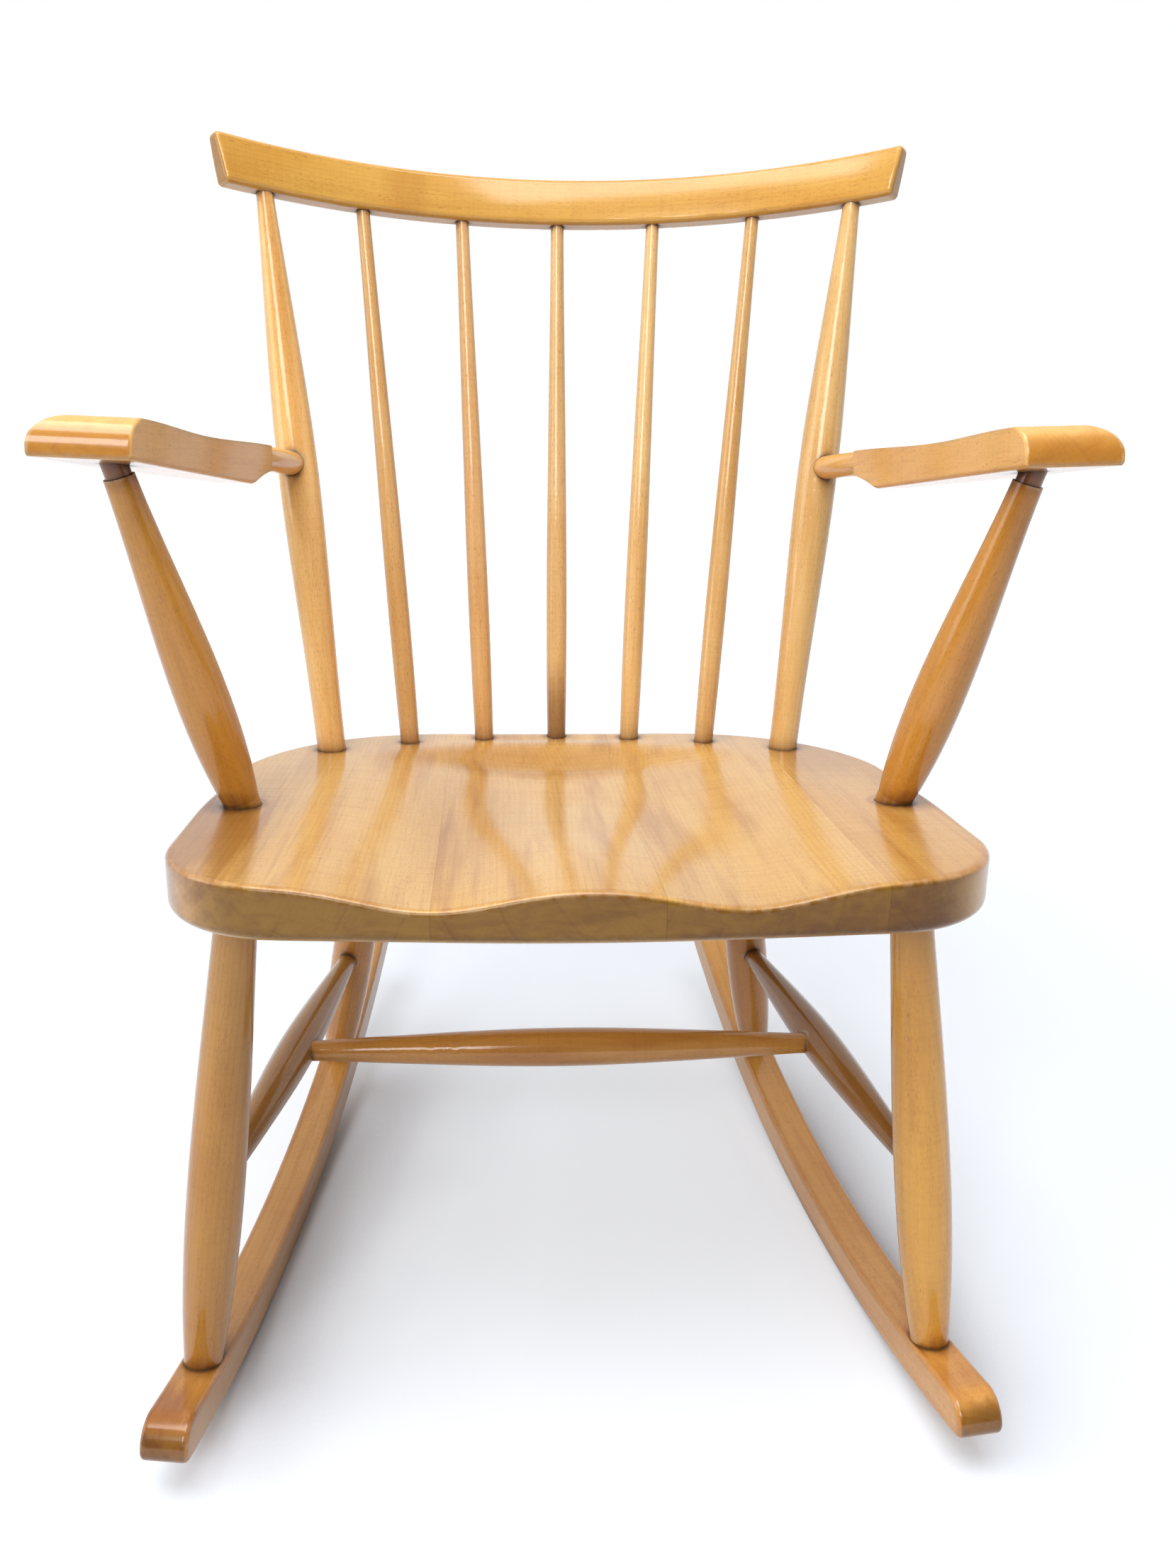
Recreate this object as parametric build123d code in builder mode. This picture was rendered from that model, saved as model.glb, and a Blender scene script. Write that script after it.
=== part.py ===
from build123d import *
import math
import os

os.makedirs("parts", exist_ok=True)

# Comb-back rocking armchair in turned beech with a saddled seat, in millimetres.
# The floor is z = 0, the sitter faces -Y and +X is on the viewer's right.
# Pairs are drawn on the +X side and mirrored.

# ---- fits -----------------------------------------------------------------
glue = 0.15            # radial glue room round every tenon
seam = 0.05            # glue line between two seat boards, and under a leg's foot

# ---- rockers --------------------------------------------------------------
rocker_radius = 918
rocker_width = 32
rocker_depth = 28
rocker_toe = 7.4       # degrees; the runners close towards the back
rocker_half_track = 237
rocker_front = 255     # run ahead of the point that touches the floor
rocker_back = 430
rocker_nose = 19       # rolled upper corner at each end
rocker_heel = 8        # lower corner at each end
rocker_arris = 3.5
balance_y = -80        # where the runners touch the floor, under the centre of mass

# ---- seat -----------------------------------------------------------------
seat_run = 401         # front to back, along the slope
seat_thickness = 34
seat_tilt = 5.4        # degrees, down towards the back
seat_centre_y = -122.5
seat_height = 420.3    # flat rim of the seat above the floor, at its centre
seat_top_arris = 3.5
seat_bottom_arris = 7
seat_outline = (       # half outline: corner place across and back, corner radius
    ((0, -202.5), 1200),
    ((250, -186), 80),
    ((251, -30), 600),
    ((238, 186), 140),
    ((0, 203), 500),
)
hollow_depth = 13.5    # the two thigh hollows at the front edge
hollow_centre = 90
hollow_spread = 39
dish_depth = 15        # the broad dish behind them
dish_half_front = 205
dish_half_back = 150
dish_back = 158        # where the back wall of the dish meets the rim
dish_wall = 46         # length of that wall's slope
dish_corner = 24       # the wall comes forward by this much at the sides
dish_merge = 0.62      # share of the seat over which the hollows become the dish
seat_spare = 4         # wood above the rim before carving
carve_half = 260       # the carved surface runs past the outline
carve_run = 208

# ---- back -----------------------------------------------------------------
stick_pitch = 61.4     # the seven back sticks stand evenly along the seat
board_joints = (-1.45, 0.67, 2.74)   # glue lines, in pitches; clear of every socket in the back row
seat_row_radius = 400
seat_row_y = 57.5
crest_pitch = 76.7
post_top_x = 223
crest_radius = 435
crest_height = 35
crest_thickness = 18   # at the underside
crest_edge = 12        # at the top
crest_swell = 0.8      # the faces are slightly rounded
crest_arris = 4
crest_half_width = 257
crest_end_rake = 8     # the ends lean outwards by this much over their height
crest_end_arris = 3.5
crest_y = 152.6        # underside of the crest rail on the centre line
crest_z = 806
back_rake = 13.4       # degrees

spindle_foot = 15.6
spindle_belly = 17.2
spindle_head = 10.4
spindle_seat_tenon = 20
spindle_crest_tenon = 18
post_foot = 22.6
post_belly = 31
post_head = 13
post_seat_tenon = 24
post_crest_tenon = 20

# ---- arms -----------------------------------------------------------------
arm_inner_x = 254      # inner lower corner of the front end
arm_front_y = -214
arm_front_z = 653.2
arm_width = 58
arm_thickness = 24
arm_turn = 12.4        # degrees, closing towards the back
arm_fall = 8.7         # degrees, down towards the back
arm_paddle = 70        # length of the full-width front
arm_heel = 168         # where the underside starts to rise to the tenon
arm_heel_drop = 4.3    # the arm is this much thicker there
arm_neck = 200
arm_neck_width = 20
arm_neck_rise = 6.5
arm_neck_blend = 12    # length over which the neck becomes round
arm_dip = 2.5
arm_flank_in = 9       # how far the outer side has come in behind the paddle
arm_waist_out = 7      # how much wider than the neck it still is before the heel
arm_waist_lead = 12    # and how far before the heel
arm_roll = 18          # rolled outer upper edge
arm_nose_low = 6       # upright part of the front end, under its rolled nose
arm_nose_back = 11     # how far the nose leans back at the top
arm_arris = 3          # lower front edge
arm_corner = 2.2       # front inner corner
arm_tenon = 18
arm_tenon_height = 15.5
arm_tenon_depth = 15

support_foot_x = 222.7
support_foot_y = -150.2
support_head_in = 28   # from the inner edge of the arm
support_head_back = 31  # from the front end of the arm
support_foot = 24.4
support_belly = 34.4
support_neck = 19
support_tenon = 16
support_collar = 8     # bare tenon showing under the arm
support_seat_tenon = 24
support_arm_tenon = 15

# ---- legs and stretchers --------------------------------------------------
front_leg_y = -252     # on the runner
front_leg_head = (213.8, -222)   # at the underside of the seat
rear_leg_y = 127
rear_leg_head = (150, 46)
leg_head = 26
leg_belly = 38
leg_foot = 27
leg_seat_tenon = 23
leg_foot_tenon = 17
leg_foot_depth = 18
stretcher_z = 180
stretcher_end = 16
stretcher_belly = 30.5
stretcher_tenon = 17
cross_end = 16.4
cross_belly = 31
cross_tenon = 12
lead = 5               # straight part of a stick outside its socket
tenon_bevel = 0.8
bore_clear = 12        # how far a boring bit starts outside the mouth
foot_spare = 8         # foot left long for scribing


# ---- frames of the sloping pieces ------------------------------------------
def sloping_plane(x, y, z, degrees):
    """Plane across the chair whose normal leans back by an angle."""
    lean = math.radians(degrees)
    return Plane(origin=(x, y, z), x_dir=(1, 0, 0), z_dir=(0, math.sin(lean), math.cos(lean)))


seat_plane = sloping_plane(0, seat_centre_y, seat_height, seat_tilt)
seat_under = seat_plane.offset(-seat_thickness)
crest_plane = sloping_plane(0, crest_y, crest_z, back_rake)

toe = math.radians(rocker_toe)
runner_plane = Plane(
    origin=(rocker_half_track, balance_y, 0),
    x_dir=(-math.sin(toe), math.cos(toe), 0),
    z_dir=(math.cos(toe), math.sin(toe), 0),
)
runner_top = rocker_radius - rocker_depth

turn = math.radians(arm_turn)
fall = math.radians(arm_fall)
arm_out = Vector(math.cos(turn), math.sin(turn), 0)
arm_back = Vector(-math.sin(turn) * math.cos(fall), math.cos(turn) * math.cos(fall), -math.sin(fall))
arm_plane = Plane(
    origin=(arm_inner_x, arm_front_y, arm_front_z),
    x_dir=arm_out,
    z_dir=arm_out.cross(arm_back),
)


# ---- helpers --------------------------------------------------------------
def on_plane(plane, x, y):
    """Point of a sloping plane above plan position x, y."""
    normal = plane.z_dir
    drop = (normal.X * (x - plane.origin.X) + normal.Y * (y - plane.origin.Y)) / normal.Z
    return Vector(x, y, plane.origin.Z - drop)


def crest_point(x):
    """Point on the crest rail's underside, on its centre line."""
    sweep = crest_radius - math.sqrt(crest_radius**2 - x**2)
    return crest_plane.from_local_coords(Vector(x, -sweep, 0))


def seat_row_point(x):
    """Point on the curved row of back sticks at the seat."""
    sweep = seat_row_radius - math.sqrt(seat_row_radius**2 - x**2)
    return on_plane(seat_plane, x, seat_row_y - sweep)


def runner_point(y):
    """Point on the middle of the runner's upper face, at plan position y."""
    run = (y - balance_y) / math.cos(toe)
    rise = rocker_radius - math.sqrt(runner_top**2 - run**2)
    return runner_plane.from_local_coords(Vector(run, rise, 0))


def at_height(start, end, height):
    """Point of a straight stick's axis at a height above the floor."""
    return start + (end - start) * ((height - start.Z) / (end.Z - start.Z))


def on_side(point, side):
    """The point itself for side 1, its mirror image for side -1."""
    return Vector(side * point.X, point.Y, point.Z)


def turned(start, end, shape, tenon_start, tenon_end, neck=None):
    """Turn a stick between two points, with tenons running on past both.

    shape lists (share of the length, diameter). neck is the (tenon diameter,
    bare length) of a far end with a shoulder.
    """
    direction = (end - start).normalized()
    length = (end - start).length
    radial = direction.cross(Vector(0, 1, 0)).normalized()
    foot = shape[0][1] / 2
    head = shape[-1][1] / 2
    tip = length + tenon_end
    far, shoulder = (neck[0] / 2, length - neck[1]) if neck else (head, length - lead)
    curve = [(foot, lead)]
    for share, diameter in shape[1:-1]:
        curve.append((diameter / 2, share * length))
    curve.append((head, shoulder))
    close = [(far, tip - tenon_bevel), (far - tenon_bevel, tip), (0, tip), (0, -tenon_start)]
    if neck:
        close.insert(0, (far, shoulder))
    with BuildSketch(Plane(origin=start, x_dir=radial, z_dir=radial.cross(direction))) as half_section:
        with BuildLine():
            Polyline((0, -tenon_start), (foot - tenon_bevel, -tenon_start), (foot, tenon_bevel - tenon_start))
            Line((foot, tenon_bevel - tenon_start), curve[0])
            Spline(*curve)
            Polyline(curve[-1], *close)
        make_face()
    revolve(half_section.sketch, axis=Axis(start, direction))


def peg(start, direction, radius, length, mode=Mode.ADD):
    """Straight round bar from a point along a direction."""
    with Locations(Plane(origin=start, z_dir=direction).location):
        Cylinder(radius, length, align=(Align.CENTER, Align.CENTER, Align.MIN), mode=mode)


def bore(mouth, inward, diameter, depth):
    """Cut a socket with glue room whose flat bottom lies depth below its mouth."""
    direction = inward.normalized()
    start = mouth - direction * bore_clear
    peg(start, direction, diameter / 2 + glue, depth + bore_clear, Mode.SUBTRACT)


def save(piece, name):
    """Label a finished piece and write it to its own file."""
    piece.part.label = name
    export_step(piece.part, f"parts/{name}.step")


# ---- ends of the sticks ----------------------------------------------------
post_foot_point = seat_row_point(3 * stick_pitch)
post_head_point = crest_point(post_top_x)
support_foot_point = on_plane(seat_plane, support_foot_x, support_foot_y)
support_head_point = arm_plane.from_local_coords(Vector(support_head_in, support_head_back, 0))
front_foot = runner_point(front_leg_y)
front_head = on_plane(seat_under, *front_leg_head)
rear_foot = runner_point(rear_leg_y)
rear_head = on_plane(seat_under, *rear_leg_head)

side_front = at_height(front_foot, front_head, stretcher_z)
side_rear = at_height(rear_foot, rear_head, stretcher_z)
side_run = (side_rear - side_front).normalized()
side_middle = (side_front + side_rear) * 0.5
side_start = side_front + side_run * (leg_belly / 2)
side_end = side_rear - side_run * (leg_belly / 2)
cross_start = Vector(-side_middle.X + stretcher_belly / 2, side_middle.Y, side_middle.Z)
cross_stop = Vector(-cross_start.X, side_middle.Y, side_middle.Z)

# The arm's tenon runs straight back into the post, as deep as its named depth
# beyond the place where its axis passes the post's near side.
post_run = (post_head_point - post_foot_point).normalized()
arm_neck_point = arm_plane.from_local_coords(Vector(arm_tenon / 2, arm_neck, arm_tenon_height))
to_post = arm_neck_point - post_foot_point
meeting = arm_back.dot(post_run)
reach = (meeting * to_post.dot(post_run) - to_post.dot(arm_back)) / (1 - meeting**2)
arm_mouth = arm_neck_point + arm_back * (reach - post_belly / 2)

spindle_shape = ((0, spindle_foot), (0.28, spindle_belly), (0.62, 14.2), (1, spindle_head))
post_shape = ((0, post_foot), (0.28, 27.5), (0.52, post_belly), (0.78, 22.5), (1, post_head))
support_shape = ((0, support_foot), (0.32, support_belly), (0.65, 27.5), (1, support_neck))
leg_shape = ((0, leg_foot), (0.40, leg_belly), (0.70, 33), (1, leg_head))
side_shape = ((0, stretcher_end), (0.25, 25), (0.5, stretcher_belly), (0.75, 25), (1, stretcher_end))
cross_shape = ((0, cross_end), (0.25, 25.5), (0.5, cross_belly), (0.75, 25.5), (1, cross_end))


# ---- seat: a carved blank, then its glued boards -----------------------------
def ease(value):
    """Smooth step from 0 to 1."""
    t = min(max(value, 0), 1)
    return t * t * (3 - 2 * t)


def saddle(u, v):
    """Height of the carved top over the rim, at u across and v back along the seat."""
    front = -seat_run / 2
    lobes = 0
    for side in (-1, 1):
        lobes += math.exp(-(((u - side * hollow_centre) / hollow_spread) ** 2) / 2)
    back_share = ease((v - front) / (dish_merge * seat_run))
    half = dish_half_front + (dish_half_back - dish_half_front) * ease((v - front) / seat_run)
    bowl = max(0, 1 - (u / half) ** 2) ** 1.5
    depth = (1 - back_share) * hollow_depth * lobes + back_share * dish_depth * bowl
    wall = dish_back - dish_corner * (u / half) ** 2
    return -depth * (1 - ease((v - wall + dish_wall) / dish_wall))


across = [carve_half * (i / 16 - 1) for i in range(33)]
lengthways = [carve_run * (j / 13 - 1) for j in range(27)]
carving = [[Vector(u, v, saddle(u, v)) for v in lengthways] for u in across]

with BuildPart() as seat_blank:
    with BuildSketch(seat_under) as outline:
        right_side = [place for place, radius in seat_outline]
        left_side = [(-x, y) for x, y in reversed(right_side[1:-1])]
        with BuildLine():
            Polyline(*right_side, *left_side, close=True)
        make_face()
        for (x, y), radius in seat_outline:
            for corner in sorted({(x, y, 0), (-x, y, 0)}):
                fillet(outline.vertices().sort_by_distance(corner)[0], radius)
    extrude(amount=seat_thickness + seat_spare)
    under = seat_blank.faces().filter_by(GeomType.PLANE).sort_by(Axis.Z)[0]
    fillet(under.edges(), seat_bottom_arris)
    with Locations(seat_plane.location):
        carved_top = Face.make_surface_from_array_of_points(carving)
        add(Solid.extrude(carved_top, Vector(0, 0, -2 * seat_thickness)), mode=Mode.INTERSECT)
    saddle_face = seat_blank.faces().filter_by(GeomType.BSPLINE).sort_by(SortBy.AREA)[-1]
    fillet(saddle_face.edges(), seat_top_arris)
    for side in (-1, 1):
        for foot, head, diameter, depth in (
            (post_foot_point, post_head_point, post_foot, post_seat_tenon),
            (support_foot_point, support_head_point, support_foot, support_seat_tenon),
            (front_head, front_foot, leg_head, leg_seat_tenon),
            (rear_head, rear_foot, leg_head, leg_seat_tenon),
        ):
            bore(on_side(foot, side), on_side(foot - head, side), diameter, depth)
    for place in range(-2, 3):
        foot = seat_row_point(place * stick_pitch)
        bore(foot, foot - crest_point(place * crest_pitch), spindle_foot, spindle_seat_tenon)

board_edges = (-seat_run, *[share * stick_pitch for share in board_joints], seat_run)
for number in range(1, len(board_edges)):
    low = board_edges[number - 1] + seam / 2
    high = board_edges[number] - seam / 2
    with BuildPart() as seat_board:
        add(seat_blank.part)
        with Locations(((low + high) / 2, seat_centre_y, seat_height)):
            Box(high - low, 2 * seat_run, seat_run, mode=Mode.INTERSECT)
    save(seat_board, f"seat_board_{number}")


# ---- crest rail: half of it swung about its bend, then mirrored ---------------
bend = math.asin(crest_half_width / crest_radius)
bend_centre = crest_plane.from_local_coords(Vector(0, -crest_radius, 0))
crest_end = crest_plane.from_local_coords(
    Vector(crest_half_width, crest_radius * (math.cos(bend) - 1), crest_height)
)
end_run = crest_plane.x_dir * math.cos(bend) - crest_plane.y_dir * math.sin(bend)
end_lean = math.atan(crest_end_rake / crest_height)
end_normal = end_run * math.cos(end_lean) - crest_plane.z_dir * math.sin(end_lean)

with BuildPart() as crest_rail:
    with BuildSketch(Plane(origin=crest_plane.origin, x_dir=crest_plane.y_dir, z_dir=(1, 0, 0))) as section:
        wide = crest_thickness / 2
        slim = crest_edge / 2
        middle = (wide + slim) / 2 + crest_swell
        with BuildLine():
            Line((-wide, 0), (wide, 0))
            ThreePointArc((wide, 0), (middle, crest_height / 2), (slim, crest_height))
            Line((slim, crest_height), (-slim, crest_height))
            ThreePointArc((-slim, crest_height), (-middle, crest_height / 2), (-wide, 0))
        make_face()
        fillet(section.vertices(), crest_arris)
    revolve(axis=Axis(bend_centre, crest_plane.z_dir), revolution_arc=-math.degrees(bend) * 1.1)
    split(bisect_by=Plane(origin=crest_end, z_dir=end_normal), keep=Keep.BOTTOM)
    mirror(about=Plane.YZ)
    ends = crest_rail.faces().filter_by(GeomType.PLANE).sort_by(Axis.X)
    fillet(ends[0].edges() + ends[-1].edges(), crest_end_arris)
    for side in (-1, 1):
        head = on_side(post_head_point, side)
        bore(head, head - on_side(post_foot_point, side), post_head, post_crest_tenon)
    for place in range(-2, 3):
        head = crest_point(place * crest_pitch)
        bore(head, head - seat_row_point(place * stick_pitch), spindle_head, spindle_crest_tenon)
save(crest_rail, "crest_rail")


# ---- back sticks ------------------------------------------------------------
for place in range(-2, 3):
    foot = seat_row_point(place * stick_pitch)
    head = crest_point(place * crest_pitch)
    with BuildPart() as spindle:
        turned(foot, head, spindle_shape, spindle_seat_tenon, spindle_crest_tenon)
    save(spindle, f"spindle_{place + 3}")

with BuildPart() as back_post_right:
    turned(post_foot_point, post_head_point, post_shape, post_seat_tenon, post_crest_tenon)
    bore(arm_mouth, arm_back, arm_tenon, arm_tenon_depth)
save(back_post_right, "back_post_right")

with BuildPart() as back_post_left:
    mirror(back_post_right.part, about=Plane.YZ)
save(back_post_left, "back_post_left")


# ---- arms and their supports -------------------------------------------------
arm_outer = arm_width * math.cos(turn)
arm_lead = -arm_width * math.sin(turn)     # the front end is cut square to the chair
arm_side = Plane(origin=arm_plane.origin, x_dir=arm_back, z_dir=arm_out)
front_way = (arm_out * arm_outer + arm_back * arm_lead).normalized()


def arm_edge(t, s, h):
    """The arm's edge nearest to a point across, back and up from its front inner corner."""
    return arm_right.edges().sort_by_distance(arm_plane.from_local_coords(Vector(t, s, h)))[0]


with BuildPart() as arm_right:
    with BuildSketch(arm_plane.offset(-arm_heel_drop)):
        with BuildLine():
            Polyline((arm_neck_width, arm_neck), (0, arm_neck), (0, 0), (arm_outer, arm_lead))
            Line((arm_outer, arm_lead), (arm_outer, arm_paddle / 2))
            Spline(
                (arm_outer, arm_paddle / 2),
                (arm_outer - arm_flank_in, arm_paddle * 1.3),
                (arm_neck_width + arm_waist_out, arm_heel - arm_waist_lead),
                (arm_neck_width, arm_neck),
                tangents=((0, 1), (-0.1, 1)),
            )
        make_face()
    extrude(amount=arm_thickness + arm_heel_drop)
    straight = arm_edge(arm_outer, 0, arm_thickness)
    flank = arm_edge(arm_outer - arm_flank_in, arm_paddle * 1.3, arm_thickness)
    fillet([straight, flank], arm_roll)
    with BuildSketch(arm_side):
        with BuildLine():
            slope = arm_heel_drop / arm_heel
            Polyline((arm_neck, arm_thickness), (arm_neck, arm_neck_rise))
            ThreePointArc(
                (arm_neck, arm_neck_rise),
                ((arm_heel + arm_neck) / 2, 0.62 * arm_neck_rise - 0.38 * arm_heel_drop),
                (arm_heel, -arm_heel_drop),
            )
            Polyline(
                (arm_heel, -arm_heel_drop),
                (-arm_width, slope * arm_width),
                (-arm_width, arm_thickness),
                (arm_paddle / 4, arm_thickness),
            )
            Spline(
                (arm_paddle / 4, arm_thickness),
                (arm_paddle * 1.2, arm_thickness - arm_dip),
                (arm_neck, arm_thickness),
                tangents=((1, 0), (1, 0)),
            )
        make_face()
    extrude(amount=arm_width, mode=Mode.INTERSECT)
    with BuildSketch(Plane(origin=arm_plane.origin, x_dir=arm_plane.z_dir.cross(front_way), z_dir=front_way)):
        with BuildLine():
            TangentArc((0, arm_nose_low), (arm_nose_back, arm_thickness), tangent=(0, 1))
            Polyline(
                (arm_nose_back, arm_thickness),
                (arm_nose_back, 2 * arm_thickness),
                (-arm_nose_back, 2 * arm_thickness),
                (-arm_nose_back, arm_nose_low),
                (0, arm_nose_low),
            )
        make_face()
    extrude(amount=2 * arm_width, both=True, mode=Mode.SUBTRACT)
    fillet([arm_edge(0, 0, arm_nose_low / 2), arm_edge(0, arm_nose_back / 4, arm_thickness / 2)], arm_corner)
    fillet(arm_edge(arm_outer / 2, arm_lead / 2, 0), arm_arris)
    neck_end = Plane(origin=arm_neck_point - arm_back * 2, x_dir=arm_out, z_dir=arm_back)
    with BuildSketch(neck_end):
        with Locations((arm_neck_width / 2 - arm_tenon / 2, 0)):
            RectangleRounded(arm_neck_width - 0.4, arm_thickness - arm_neck_rise - 0.4, 6)
    with BuildSketch(neck_end.offset(2 + arm_neck_blend)):
        Circle(arm_tenon / 2)
    loft()
    peg(arm_neck_point, arm_back, arm_tenon / 2, (arm_mouth - arm_neck_point).length + arm_tenon_depth)
    bore(support_head_point, support_head_point - support_foot_point, support_tenon, support_arm_tenon)
save(arm_right, "arm_right")

with BuildPart() as arm_left:
    mirror(arm_right.part, about=Plane.YZ)
save(arm_left, "arm_left")

with BuildPart() as arm_support_right:
    turned(
        support_foot_point,
        support_head_point,
        support_shape,
        support_seat_tenon,
        support_arm_tenon,
        neck=(support_tenon, support_collar),
    )
save(arm_support_right, "arm_support_right")

with BuildPart() as arm_support_left:
    mirror(arm_support_right.part, about=Plane.YZ)
save(arm_support_left, "arm_support_left")


# ---- rockers ------------------------------------------------------------------
def runner_corner(radius, run):
    """Point of a runner's profile on a circle about its centre of rocking."""
    angle = run / rocker_radius
    return (radius * math.sin(angle), rocker_radius - radius * math.cos(angle))


with BuildPart() as rocker_right:
    with BuildSketch(runner_plane) as profile:
        tip_low = runner_corner(rocker_radius, -rocker_front)
        tip_high = runner_corner(runner_top, -rocker_front)
        tail_low = runner_corner(rocker_radius, rocker_back)
        tail_high = runner_corner(runner_top, rocker_back)
        with BuildLine():
            ThreePointArc(tip_low, (0, 0), tail_low)
            Line(tail_low, tail_high)
            ThreePointArc(tail_high, (0, rocker_depth), tip_high)
            Line(tip_high, tip_low)
        make_face()
        for corner, radius in (
            (tip_low, rocker_heel),
            (tip_high, rocker_nose),
            (tail_low, rocker_heel),
            (tail_high, rocker_nose),
        ):
            fillet(profile.vertices().sort_by_distance((*corner, 0))[0], radius)
    extrude(amount=rocker_width / 2, both=True)
    cheeks = rocker_right.faces().filter_by(lambda face: abs(face.normal_at().dot(runner_plane.z_dir)) > 0.99)
    fillet(cheeks.edges(), rocker_arris)
    bore(front_foot, front_foot - front_head, leg_foot_tenon, leg_foot_depth)
    bore(rear_foot, rear_foot - rear_head, leg_foot_tenon, leg_foot_depth)
save(rocker_right, "rocker_right")

with BuildPart() as rocker_left:
    mirror(rocker_right.part, about=Plane.YZ)
save(rocker_left, "rocker_left")


# ---- legs: each foot is scribed to the runner's curved upper face --------------
rocking_centre = runner_plane.from_local_coords(Vector(0, rocker_radius, 0))


def leg(foot, head):
    """Turned leg with a socket for the side stretcher, in the active part."""
    turned(foot, head, leg_shape, foot_spare, leg_seat_tenon)
    drum_end = rocking_centre - runner_plane.z_dir * seat_run
    peg(drum_end, runner_plane.z_dir, runner_top - seam, 2 * seat_run, Mode.INTERSECT)
    down = (foot - head).normalized()
    peg(foot - down * leg_foot, down, leg_foot_tenon / 2, leg_foot + leg_foot_depth)


with BuildPart() as front_leg_right:
    leg(front_foot, front_head)
    bore(side_start, side_run * -1, stretcher_end, stretcher_tenon)
save(front_leg_right, "front_leg_right")

with BuildPart() as front_leg_left:
    mirror(front_leg_right.part, about=Plane.YZ)
save(front_leg_left, "front_leg_left")

with BuildPart() as rear_leg_right:
    leg(rear_foot, rear_head)
    bore(side_end, side_run, stretcher_end, stretcher_tenon)
save(rear_leg_right, "rear_leg_right")

with BuildPart() as rear_leg_left:
    mirror(rear_leg_right.part, about=Plane.YZ)
save(rear_leg_left, "rear_leg_left")


# ---- stretchers ------------------------------------------------------------------
with BuildPart() as side_stretcher_right:
    turned(side_start, side_end, side_shape, stretcher_tenon, stretcher_tenon)
    bore(cross_stop, Vector(1, 0, 0), cross_end, cross_tenon)
save(side_stretcher_right, "side_stretcher_right")

with BuildPart() as side_stretcher_left:
    mirror(side_stretcher_right.part, about=Plane.YZ)
save(side_stretcher_left, "side_stretcher_left")

with BuildPart() as cross_stretcher:
    turned(cross_start, cross_stop, cross_shape, cross_tenon, cross_tenon)
save(cross_stretcher, "cross_stretcher")
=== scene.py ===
"""A rocking armchair in satin-varnished beech: its finishes, floor, light and camera.

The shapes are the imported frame's own. This script gives every piece of wood its finish, with the
grain laid along that piece, and sets the chair on a pale floor in soft studio light. Lengths are
metres, +x is on the viewer's right, the sitter faces -y and z is up.
"""

from __future__ import annotations

import logging
import math
import random
from dataclasses import dataclass, field, replace
from enum import Enum
from typing import Any, Mapping, Sequence, Union

import bpy
import numpy as np
from mathutils import Matrix, Vector

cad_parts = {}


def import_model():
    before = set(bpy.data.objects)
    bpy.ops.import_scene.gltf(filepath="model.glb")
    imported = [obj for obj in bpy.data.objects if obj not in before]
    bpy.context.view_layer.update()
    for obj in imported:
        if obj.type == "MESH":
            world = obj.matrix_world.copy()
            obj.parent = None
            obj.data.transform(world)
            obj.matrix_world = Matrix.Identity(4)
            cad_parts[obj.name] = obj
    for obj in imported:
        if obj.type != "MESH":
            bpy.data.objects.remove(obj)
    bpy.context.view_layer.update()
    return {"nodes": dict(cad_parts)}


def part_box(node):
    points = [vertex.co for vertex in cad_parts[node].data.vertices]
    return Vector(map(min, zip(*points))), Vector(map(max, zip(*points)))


log = logging.getLogger("rocking_chair")

Colour = tuple[float, float, float]
Triple = tuple[float, float, float]
Span = tuple[float, float]
Number = Union[float, int]

MM = 0.001
FRAME_WIDTH = 1659
FRAME_HEIGHT = 2212
SENSOR = 36.0
NOISE_MIDDLE = 0.5
PLAIN: Colour = (1.0, 1.0, 1.0)

ALONG_X = Vector((1.0, 0.0, 0.0))
ALONG_Y = Vector((0.0, 1.0, 0.0))
UPWARD = Vector((0.0, 0.0, 1.0))


# ---------------------------------------------------------------- shader maths


class Wire:
    """A shader socket that takes part in plain arithmetic."""

    def __init__(self, tree: Tree, socket: bpy.types.NodeSocket) -> None:
        """Keeps the tree and the output socket.

        Args:
            tree: The tree that the socket belongs to.
            socket: The output socket that carries the value.
        """
        self.tree = tree
        self.socket = socket

    def __add__(self, other: Term) -> Wire:
        """The sum of this and another term."""
        return self.tree.math("ADD", self, other)

    __radd__ = __add__

    def __sub__(self, other: Term) -> Wire:
        """This less another term."""
        return self.tree.math("SUBTRACT", self, other)

    def __rsub__(self, other: Term) -> Wire:
        """Another term less this."""
        return self.tree.math("SUBTRACT", other, self)

    def __mul__(self, other: Term) -> Wire:
        """The product of this and another term."""
        return self.tree.math("MULTIPLY", self, other)

    __rmul__ = __mul__

    def __truediv__(self, other: Term) -> Wire:
        """This over another term."""
        return self.tree.math("DIVIDE", self, other)

    def __abs__(self) -> Wire:
        """This without its sign."""
        return self.tree.math("ABSOLUTE", self)


Term = Union[Wire, Number]


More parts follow.
